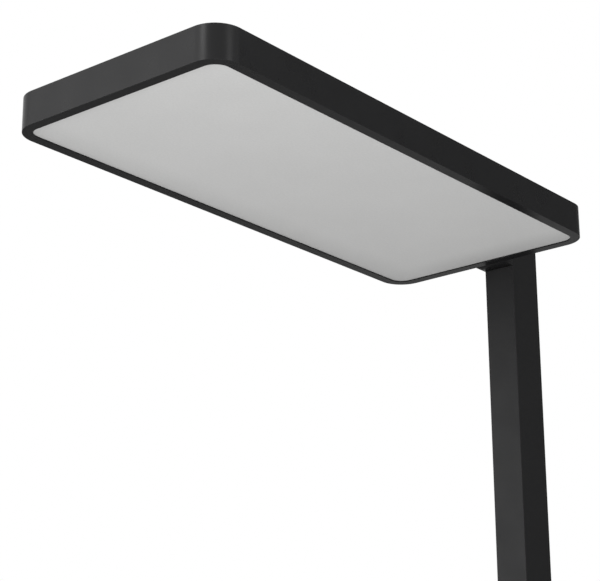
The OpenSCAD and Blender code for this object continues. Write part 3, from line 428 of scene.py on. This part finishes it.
# ---- Outlines: lists of arcs joined by straight lines ----
# An arc is the two coordinates of its centre, its radius, and its start and end angle. The angles of a
# hollow arc run backwards.
def rounded_rect(x0, x1, y0, y1, r):
    centres = ((x1 - r, y1 - r), (x0 + r, y1 - r), (x0 + r, y0 + r), (x1 - r, y0 + r))
    return [(cx, cy, r, i * QUARTER, (i + 1) * QUARTER) for i, (cx, cy) in enumerate(centres)]


def circle(cx, cy, r):
    return [(cx, cy, r, 0, 2 * math.pi)]


def hexagon(cx, cy, r, corner_r):
    """A hexagon with rounded corners, which reach as far as the radius."""
    arcs = []
    for i in range(6):
        angle = (i + 0.5) * math.pi / 3
        reach = r - corner_r
        arcs.append((cx + reach * math.cos(angle), cy + reach * math.sin(angle), corner_r,
                     angle - math.pi / 6, angle + math.pi / 6))
    return arcs


def inset_arcs(arcs, inset):
    """The outline moved inwards: its round corners shrink and its hollow ones grow."""
    return [(cx, cy, r - inset if end > start else r + inset, start, end) for cx, cy, r, start, end in arcs]


def ring(arcs, steps=ARC_STEPS):
    """The points of an outline, with so many steps in an arc and twice as many in a whole circle."""
    points = []
    for cx, cy, r, start, end in arcs:
        full = math.isclose(abs(end - start), 2 * math.pi)
        count = 2 * steps if full else steps
        for i in range(count if full else count + 1):
            angle = start + (end - start) * i / count
            points.append((cx + r * math.cos(angle), cy + r * math.sin(angle)))
    return points


# ---- Shapes swept round an outline ----
def filleted(corners):
    """The points (inset, height, wear and painted highlight) of a profile whose corners are (inset, height,
    fillet). A corner with a fillet is a right angle, or nearly one."""
    profile = []
    count = len(corners)
    for i, (a, h, r) in enumerate(corners):
        if not r:
            profile.append((a, h, 0.0))
            continue
        here = Vector((a, h))
        back = (Vector(corners[i - 1][:2]) - here).normalized()
        ahead = (Vector(corners[(i + 1) % count][:2]) - here).normalized()
        middle = here + (back + ahead) * r
        for k in range(EDGE_STEPS + 1):
            turn = k / EDGE_STEPS * QUARTER
            point = middle - ahead * r * math.cos(turn) - back * r * math.sin(turn)
            profile.append((point.x, point.y, math.sin(2 * turn)))
    return profile


def loft(bm, rings, wear_and_sheen, ends):
    """Faces from ring to ring. The ends are "joined" to each other, "capped" with a face or left "open"."""
    layer = bm.verts.layers.float[WEAR_AND_SHEEN]
    rows = []
    for points, amount in zip(rings, wear_and_sheen):
        row = [bm.verts.new(p) for p in points]
        for vert in row:
            vert[layer] = amount
        rows.append(row)
    pairs = list(zip(rows, rows[1:]))
    if ends == "joined":
        pairs.append((rows[-1], rows[0]))
    for low, high in pairs:
        count = len(low)
        for i in range(count):
            k = (i + 1) % count
            bm.faces.new((low[i], low[k], high[k], high[i]))
    if ends == "capped":
        bm.faces.new(rows[0])
        bm.faces.new(rows[-1])
    return rows


def along_z(x, y, h):
    return (x, y, h)


def along_x(y, z, h):
    """Turns an outline in Y and Z with heights along X."""
    return (h, y, z)


def new_mesh():
    bm = bmesh.new()
    bm.verts.layers.float.new(WEAR_AND_SHEEN)
    return bm


def sweep(bm, outline, corners, turn=along_z, ends="capped", steps=ARC_STEPS):
    """Sweeps a profile of (inset, height, fillet) round an outline, which is a list of arcs or gives
    one for each inset."""
    profile = filleted(corners)
    rings = []
    for inset, h, _ in profile:
        arcs = outline(inset) if callable(outline) else inset_arcs(outline, inset)
        rings.append([turn(x, y, h) for x, y in ring(arcs, steps)])
    return loft(bm, rings, [w for _, _, w in profile], ends)


def end_loops(bm, rows):
    """The edges of the first ring and of the last."""
    return [[bm.edges.get((row[i - 1], row[i])) for i in range(len(row))] for row in (rows[0], rows[-1])]


def rim(bm, arcs, side, h0, h1, edge, turn, steps):
    """The wall of an outline or, with a side of -1, of an opening, with rounded edges. Gives the edges of
    its two ends."""
    corners = [(side * edge, h0, 0), (0, h0, edge), (0, h1, edge), (side * edge, h1, 0)]
    return end_loops(bm, sweep(bm, arcs, corners if edge else corners[1:3], turn, "open", steps))


def span(bm, loops):
    """Flat faces that fill what lies between an outer loop of edges and those of its openings."""
    edges = [edge for loop in loops for edge in loop]
    bmesh.ops.triangle_fill(bm, use_beauty=True, use_dissolve=False, edges=edges)


def plate(bm, outline, holes, h0, h1, edge, turn=along_z, steps=ARC_STEPS):
    """A flat plate with openings."""
    ends = [rim(bm, outline, 1, h0, h1, edge, turn, steps)]
    ends += [rim(bm, hole, -1, h0, h1, edge, turn, steps) for hole in holes]
    for loops in zip(*ends):
        span(bm, loops)


def revolve(bm, profile, z, flutes=0, flute_depth=0.0, steps=96):
    """Turns a profile of (radius, x, share of the flutes) about a line along X at a height."""
    rings = []
    for r, x, share in profile:
        points = []
        for i in range(steps):
            angle = 2 * math.pi * i / steps
            reach = r - share * flute_depth * (0.5 + 0.5 * math.cos(flutes * angle))
            points.append((x, reach * math.cos(angle), z + reach * math.sin(angle)))
        rings.append(points)
    loft(bm, rings, [0.0] * len(rings), "joined")


def piece(name, bm, body, slot, materials, replaced=(), finish=None):
    """Turns a mesh into a piece with smooth fillets that rides on a body and stands for CAD nodes. Its
    finish is that of its slot where none is given."""
    bmesh.ops.remove_doubles(bm, verts=bm.verts, dist=WELD)
    bmesh.ops.dissolve_degenerate(bm, edges=bm.edges, dist=NO_LENGTH)
    bmesh.ops.recalc_face_normals(bm, faces=bm.faces)
    mesh = bpy.data.meshes.new(name)
    bm.to_mesh(mesh)
    bm.free()
    mesh.shade_smooth()
    obj = bpy.data.objects.new(name, mesh)
    bpy.context.scene.collection.objects.link(obj)
    obj.data.materials.append(materials[finish or slot])
    normals = obj.modifiers.new("flat_faces", "WEIGHTED_NORMAL")
    normals.keep_sharp = True
    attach(obj, body)
    if replaced:
        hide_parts(*replaced)


# ---- Places taken from the frame ----
def middle_z(name):
    low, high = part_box(name)
    return (low.z + high.z) / 2


def round_solids(name, gap, across=(0, 1)):
    """The centre and radius, seen along one axis, of each round solid of a CAD node. The other two axes
    are given. Each solid is narrower than the gap, and further than that from the next."""
    groups = []
    for vert in nodes[name].data.vertices:
        point = [vert.co[i] for i in across]
        near = [group for group in groups if math.dist(group[0], point) < gap]
        if near:
            near[0].append(point)
        else:
            groups.append([point])
    found = []
    for group in groups:
        (x0, x1), (y0, y1) = [(min(axis), max(axis)) for axis in zip(*group)]
        found.append(((x0 + x1) / 2, (y0 + y1) / 2, (x1 - x0) / 2))
    return found


# ---- Head ----
def make_head(materials):
    """The frame's band and the flat rim below it, from one profile."""
    low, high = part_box("head_frame")
    tighten = (HEAD_R - RIM_R) / RIM_W  # the corner radius falls from the outside to the opening

    def outline(inset):
        return rounded_rect(low.x + inset, high.x - inset, low.y + inset, high.y - inset,
                            HEAD_R - inset * tighten)

    bm = new_mesh()
    sweep(bm, outline, [
        (0, low.z, SOFT_EDGE),
        (RIM_W, low.z, FINE_EDGE),
        (RIM_W, low.z + RIM_T, 0),
        (FRAME_T, low.z + RIM_T, 0),
        (FRAME_T, high.z, FINE_EDGE),
        (0, high.z, SOFT_EDGE),
    ], ends="joined")
    piece("head_shell", bm, "lamp", "powder_black", materials, ["head_frame"])


def make_top_cover(materials):
    """The sheet over the head, with the two uplight windows and the sunk screws' holes."""
    low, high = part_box("top_cover")
    length, width, r = WINDOW
    middle = (low.x + high.x) / 2
    outline = rounded_rect(low.x, high.x, low.y, high.y, HEAD_R - FRAME_T - SHEET_GAP)
    holes = [
        rounded_rect(middle - length / 2, middle + length / 2, side * WINDOW_Y - width / 2,
                     side * WINDOW_Y + width / 2, r)
        for side in (-1, 1)
    ]
    holes += [circle(x, y, r + SINK_GAP) for x, y, r in round_solids("cover_screws", gap=20 * MM)]
    bm = new_mesh()
    plate(bm, outline, holes, low.z, high.z, FINE_EDGE, steps=12)
    piece("top_lid", bm, "lamp", "powder_black", materials, ["top_cover"])


# ---- Mast, neck and base ----
def neck_holes():
    """The bore for the leads and the holes of the neck's screws, in Y and Z."""
    z = middle_z("neck_screws")
    holes = [circle(0, z, NECK_BORE_R)]
    for side in (-1, 1):
        for up in (-1, 1):
            holes.append(circle(side * NECK_HOLE_Y, z + up * NECK_HOLE_Z, NECK_HOLE_R))
    return holes


def make_neck(materials):
    """The block between head and mast. Its end fills the mast's round corners, so that the sides run on."""
    low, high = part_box("neck")
    bm = new_mesh()
    outline = rounded_rect(low.y, high.y, low.z, high.z, SOFT_EDGE)
    plate(bm, outline, neck_holes(), low.x, high.x + MAST_R, 0, turn=along_x, steps=6)
    piece("neck_block", bm, "lamp", "powder_black", materials, ["neck"])


def make_mast(materials):
    """The rectangular tube with its nearly sharp corners and all its openings."""
    low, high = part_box("mast_tube")

    def outline(inset):
        return rounded_rect(low.x + inset, high.x - inset, low.y + inset, high.y - inset,
                            max(MAST_R - inset, MAST_INNER_R))

    bm = new_mesh()
    rows = sweep(bm, outline, [
        (MAST_T, low.z, 0),
        (0, low.z, 0),
        (0, high.z, 0),
        (MAST_T, high.z, 0),
    ], ends="joined", steps=MAST_STEPS)
    corner = MAST_STEPS + 1  # points in each round corner of a ring
    # The wear and painted highlight are full along the middle of each of the four ridges.
    wear_and_sheen = bm.verts.layers.float[WEAR_AND_SHEEN]
    for row in rows[1:3]:
        for i, vert in enumerate(row):
            vert[wear_and_sheen] = math.sin(math.pi * (i % corner) / MAST_STEPS)

    slot_w, slot_h, slot_r = CONTROL_SLOT
    slot_z = middle_z("control_fascia")
    front = neck_holes()
    front.append(rounded_rect(-slot_w / 2, slot_w / 2, slot_z - slot_h / 2, slot_z + slot_h / 2, slot_r))
    screws = round_solids("grub_screws", gap=10 * MM, across=(1, 2))
    rear = [circle(y, z, r + GRUB_GAP) for y, z, r in screws]
    rear.append(circle(0, middle_z("cable_gland"), GLAND_NECK_R))
    # The rear wall ends at a ring's first point and the front wall at the one that follows two corners.
    # The outer and the inner face of each are taken out and filled again round the openings.
    for i, holes, x0, x1 in ((0, rear, high.x, high.x - MAST_T), (2 * corner, front, low.x, low.x + MAST_T)):
        loops = [[], []]
        for loop, (base, top) in zip(loops, ((rows[1], rows[2]), (rows[3], rows[0]))):
            face = bm.faces.get((base[i - 1], base[i], top[i], top[i - 1]))
            loop.append(list(face.edges))
            bm.faces.remove(face)
        for arcs in holes:
            for loop, end in zip(loops, rim(bm, arcs, -1, x0, x1, FINE_EDGE, turn=along_x, steps=8)):
                loop.append(end)
        for loop in loops:
            span(bm, loop)
    piece("mast", bm, "lamp", "powder_black", materials, ["mast_tube"], finish="mast_black")


def make_mast_cap(materials):
    low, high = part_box("mast_cap")
    mast_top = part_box("mast_tube")[1].z
    bm = new_mesh()
    outline = rounded_rect(low.x, high.x, low.y, high.y, MAST_R)
    sweep(bm, outline, [
        (0, mast_top, 0),
        (0, high.z, SOFT_EDGE),
        (SOFT_EDGE * 2, high.z, 0),
    ], steps=MAST_STEPS)
    piece("cap", bm, "lamp", "powder_black", materials, ["mast_cap"], finish="mast_black")


def base_outline(low, high):
    """Two legs that point along -X with a notch between them, joined across the rear."""
    notch_x = low.x + NOTCH_L
    inner = high.y - LEG_W
    return [
        (high.x - BASE_R, high.y - BASE_R, BASE_R, 0, QUARTER),
        (low.x + BASE_R, high.y - BASE_R, BASE_R, QUARTER, 2 * QUARTER),
        (low.x + BASE_R, inner + BASE_R, BASE_R, 2 * QUARTER, 3 * QUARTER),
        (notch_x - NOTCH_R, inner - NOTCH_R, NOTCH_R, QUARTER, 0),
        (notch_x - NOTCH_R, -inner + NOTCH_R, NOTCH_R, 0, -QUARTER),
        (low.x + BASE_R, -inner - BASE_R, BASE_R, QUARTER, 2 * QUARTER),
        (low.x + BASE_R, low.y + BASE_R, BASE_R, 2 * QUARTER, 3 * QUARTER),
        (high.x - BASE_R, low.y + BASE_R, BASE_R, 3 * QUARTER, 4 * QUARTER),
    ]


def make_base_plate(materials):
    """The plate with its two countersunk holes, which the middle pad covers."""
    low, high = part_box("base_plate")
    bm = new_mesh()
    rows = [sweep(bm, base_outline(low, high), [
        (PLATE_EDGE * 2, low.z, 0),
        (0, low.z, PLATE_EDGE / 2),
        (0, high.z, PLATE_EDGE),
        (PLATE_EDGE * 2, high.z, 0),
    ], ends="open")]
    for x, y, r in round_solids("foot_screws", gap=20 * MM):
        sink = r + SINK_GAP - FOOT_HOLE_R
        rows.append(sweep(bm, circle(x, y, r + SINK_GAP), [
            (-FINE_EDGE, low.z, 0),
            (0, low.z, 0),
            (sink, low.z + sink, 0),
            (sink, high.z, 0),
            (sink - FINE_EDGE, high.z, 0),
        ], ends="open"))
    for loops in zip(*[end_loops(bm, part) for part in rows]):
        span(bm, loops)
    piece("foot_plate", bm, "lamp", "powder_black", materials, ["base_plate"])


def make_glides(materials):
    """Rubber pads with a rounded lower edge and a shallow hollow below."""
    low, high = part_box("base_glides")
    bm = new_mesh()
    for x, y, r in round_solids("base_glides", gap=60 * MM):
        sweep(bm, circle(x, y, r), [
            (0, high.z, 0),
            (0, low.z, GLIDE_EDGE),
            (GLIDE_RING_W, low.z, GLIDE_DISH / 2),
            (GLIDE_RING_W + GLIDE_SLOPE, low.z + GLIDE_DISH, GLIDE_DISH / 2),
            (GLIDE_RING_W + GLIDE_LAND, low.z + GLIDE_DISH, 0),
        ])
    piece("rubber_glides", bm, "lamp", "rubber", materials, ["base_glides"])


# ---- Cable inlet ----
def make_gland(materials):
    """The gland's hexagon, its fluted nut with a dome, its neck through the mast's wall, and its seal."""
    low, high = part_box("cable_gland")
    z = middle_z("cable_gland")
    mast_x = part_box("mast_tube")[1].x
    nut_x = mast_x + GLAND_HEX_L
    bm = new_mesh()
    sweep(bm, hexagon(0, z, GLAND_R, GLAND_CORNER_R), [
        (0, mast_x, 0),
        (0, nut_x, GLAND_EDGE),
        (GLAND_LAND, nut_x, 0),
    ], turn=along_x, steps=4)
    seal_r = GLAND_BORE_R + SEAL_T
    nut_r = GLAND_R - NUT_STEP
    dome_x = high.x - NUT_DOME_R
    profile = [(seal_r, nut_x, 0), (nut_r, nut_x, 1), (nut_r, dome_x - GLAND_LAND, 1), (nut_r, dome_x, 0)]
    for k in range(1, NUT_DOME_STEPS + 1):
        turn = k / NUT_DOME_STEPS * QUARTER
        reach = nut_r - NUT_DOME_R * (1 - math.cos(turn))
        profile.append((reach, dome_x + NUT_DOME_R * math.sin(turn), 0))
    profile += [(seal_r + GLAND_EDGE, high.x, 0), (seal_r, high.x - GLAND_EDGE, 0)]
    revolve(bm, profile, z, flutes=NUT_FLUTES, flute_depth=NUT_FLUTE_DEPTH, steps=192)
    revolve(bm, [
        (seal_r, low.x, 0),
        (GLAND_NECK_R, low.x, 0),
        (GLAND_NECK_R, mast_x, 0),
        (seal_r, mast_x, 0),
    ], z)
    piece("gland_body", bm, "lamp", "black_plastic", materials, ["cable_gland"])

    crest_x = high.x - SEAL_SINK
    bm = new_mesh()
    revolve(bm, [
        (seal_r, mast_x, 0),
        (seal_r, crest_x - SEAL_FALL, 0),
        (GLAND_BORE_R + 2 * SEAL_FALL, crest_x, 0),
        (GLAND_BORE_R, crest_x - 2 * SEAL_FALL, 0),
        (GLAND_BORE_R, mast_x, 0),
    ], z)
    piece("gland_seal", bm, "lamp", "rubber", materials)


# ---- Control ----
def key_outline(z):
    """A key's cap in Y and Z. It shrinks to a narrow slot without its corners turning inside out."""
    def outline(inset):
        half_w = KEY_W / 2 - inset
        half_h = KEY_H / 2 - inset
        r = max(KEY_R - inset * KEY_R_FALL, KEY_INNER_R)
        return rounded_rect(-half_w, half_w, z - half_h, z + half_h, r)
    return outline


def print_mark(bm, arcs, x0, x1, steps=4):
    """A flat mark of one outline."""
    sweep(bm, arcs, [(0, x0, 0), (0, x1, 0)], turn=along_x, steps=steps)


def bar(y0, y1, z0, z1):
    """An outline with rounded ends."""
    return rounded_rect(y0, y1, z0, z1, min(y1 - y0, z1 - z0) * MARK_ROUND)


def plus_mark(bm, z, x0, x1):
    """One outline round four arms, with a small hollow arc in each inner corner."""
    r = MARK_W * MARK_ROUND
    inner = MARK_W / 2 + MARK_HOLLOW_R
    arcs = []
    for i in range(4):
        a = i * QUARTER
        for along, across, arc_r, start, end in (
            (MARK_REACH - r, r - MARK_W / 2, r, a - QUARTER, a),
            (MARK_REACH - r, MARK_W / 2 - r, r, a, a + QUARTER),
            (inner, inner, MARK_HOLLOW_R, a - QUARTER, a - 2 * QUARTER),
        ):
            cy = along * math.cos(a) - across * math.sin(a)
            cz = along * math.sin(a) + across * math.cos(a)
            arcs.append((cy, z + cz, arc_r, start, end))
    print_mark(bm, arcs, x0, x1)


def minus_mark(bm, z, x0, x1):
    print_mark(bm, bar(-MARK_REACH, MARK_REACH, z - MARK_W / 2, z + MARK_W / 2), x0, x1)


def power_mark(bm, z, x0, x1):
    """A ring open at the top, with a bar in its gap."""
    start = QUARTER + POWER_HALF_GAP
    end = start + 2 * (math.pi - POWER_HALF_GAP)
    print_mark(bm, [(0, z, POWER_R + MARK_W, start, end), (0, z, POWER_R, end, start)], x0, x1, POWER_STEPS)
    bar_z0, bar_z1 = POWER_BAR
    print_mark(bm, bar(-MARK_W / 2, MARK_W / 2, z + bar_z0, z + bar_z1), x0, x1)


KEYS = {  # each key's body and mark
    "brighter_key": ("brighter", plus_mark),
    "power_key": ("power", power_mark),
    "dimmer_key": ("dimmer", minus_mark),
}


def make_fascia(materials):
    """The control's front, with openings for the three keys and the status light."""
    low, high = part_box("control_fascia")
    holes = []
    for name in KEYS:
        holes.append(inset_arcs(key_outline(middle_z(name))(0), -KEY_GAP))
    holes.append(circle(0, middle_z("status_light"), STATUS_R))
    bm = new_mesh()
    outline = rounded_rect(low.y, high.y, low.z, high.z, FASCIA_R)
    plate(bm, outline, holes, low.x, high.x, FINE_EDGE, turn=along_x, steps=12)
    piece("fascia", bm, "lamp", "black_plastic", materials, ["control_fascia"])


def make_key(name, body, mark, materials):
    """A cap with a flange behind the fascia, a hollow in its face and a stem, and its mark."""
    low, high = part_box(name)
    z = middle_z(name)
    flange_w = (high.y - low.y - KEY_W) / 2
    flange_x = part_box("mast_tube")[0].x + KEY_GAP
    bm = new_mesh()
    corners = [
        (-flange_w, flange_x + KEY_FLANGE_T, 0),
        (-flange_w, flange_x, 0),
        (0, flange_x, 0),
        (0, low.x, KEY_EDGE),
        (KEY_LAND, low.x, 0),
    ]
    for k in range(1, KEY_DISH_STEPS + 1):
        share = k / KEY_DISH_STEPS
        hollow = KEY_DISH * math.sin(share * QUARTER) ** 2
        corners.append((KEY_LAND + share * KEY_DISH_W, low.x + hollow, 0))
    sweep(bm, key_outline(z), corners, turn=along_x, steps=10)
    stem_x = flange_x + KEY_FLANGE_T / 2
    sweep(bm, circle(0, z, KEY_STEM_R), [(0, stem_x, 0), (0, high.x, 0)], turn=along_x)
    piece(name + "_cap", bm, body, "black_plastic", materials, [name])

    face = low.x + KEY_DISH
    bm = new_mesh()
    mark(bm, z, face - MARK_PROUD, face + MARK_SINK)
    piece(name + "_mark", bm, body, "white_case", materials)


# ---- The CAD nodes and the run ----
def finish_cad_nodes(materials):
    """Gives every solid of the frame the material of its slot."""
    slots = {s["node"]: s["material_slot"] for s in frame["record"]["subparts"]}
    for name, obj in nodes.items():
        obj.data.materials.clear()
        obj.data.materials.append(materials[slots[name]])


make_camera()
make_world()
make_floor()
make_lights()
make_flags()
finishes = make_materials()
finish_cad_nodes(finishes)
make_head(finishes)
make_top_cover(finishes)
make_neck(finishes)
make_mast(finishes)
make_mast_cap(finishes)
make_base_plate(finishes)
make_glides(finishes)
make_gland(finishes)
make_fascia(finishes)
for key, (key_body, key_mark) in KEYS.items():
    make_key(key, key_body, key_mark, finishes)
bpy.context.scene.view_settings.view_transform = "Standard"
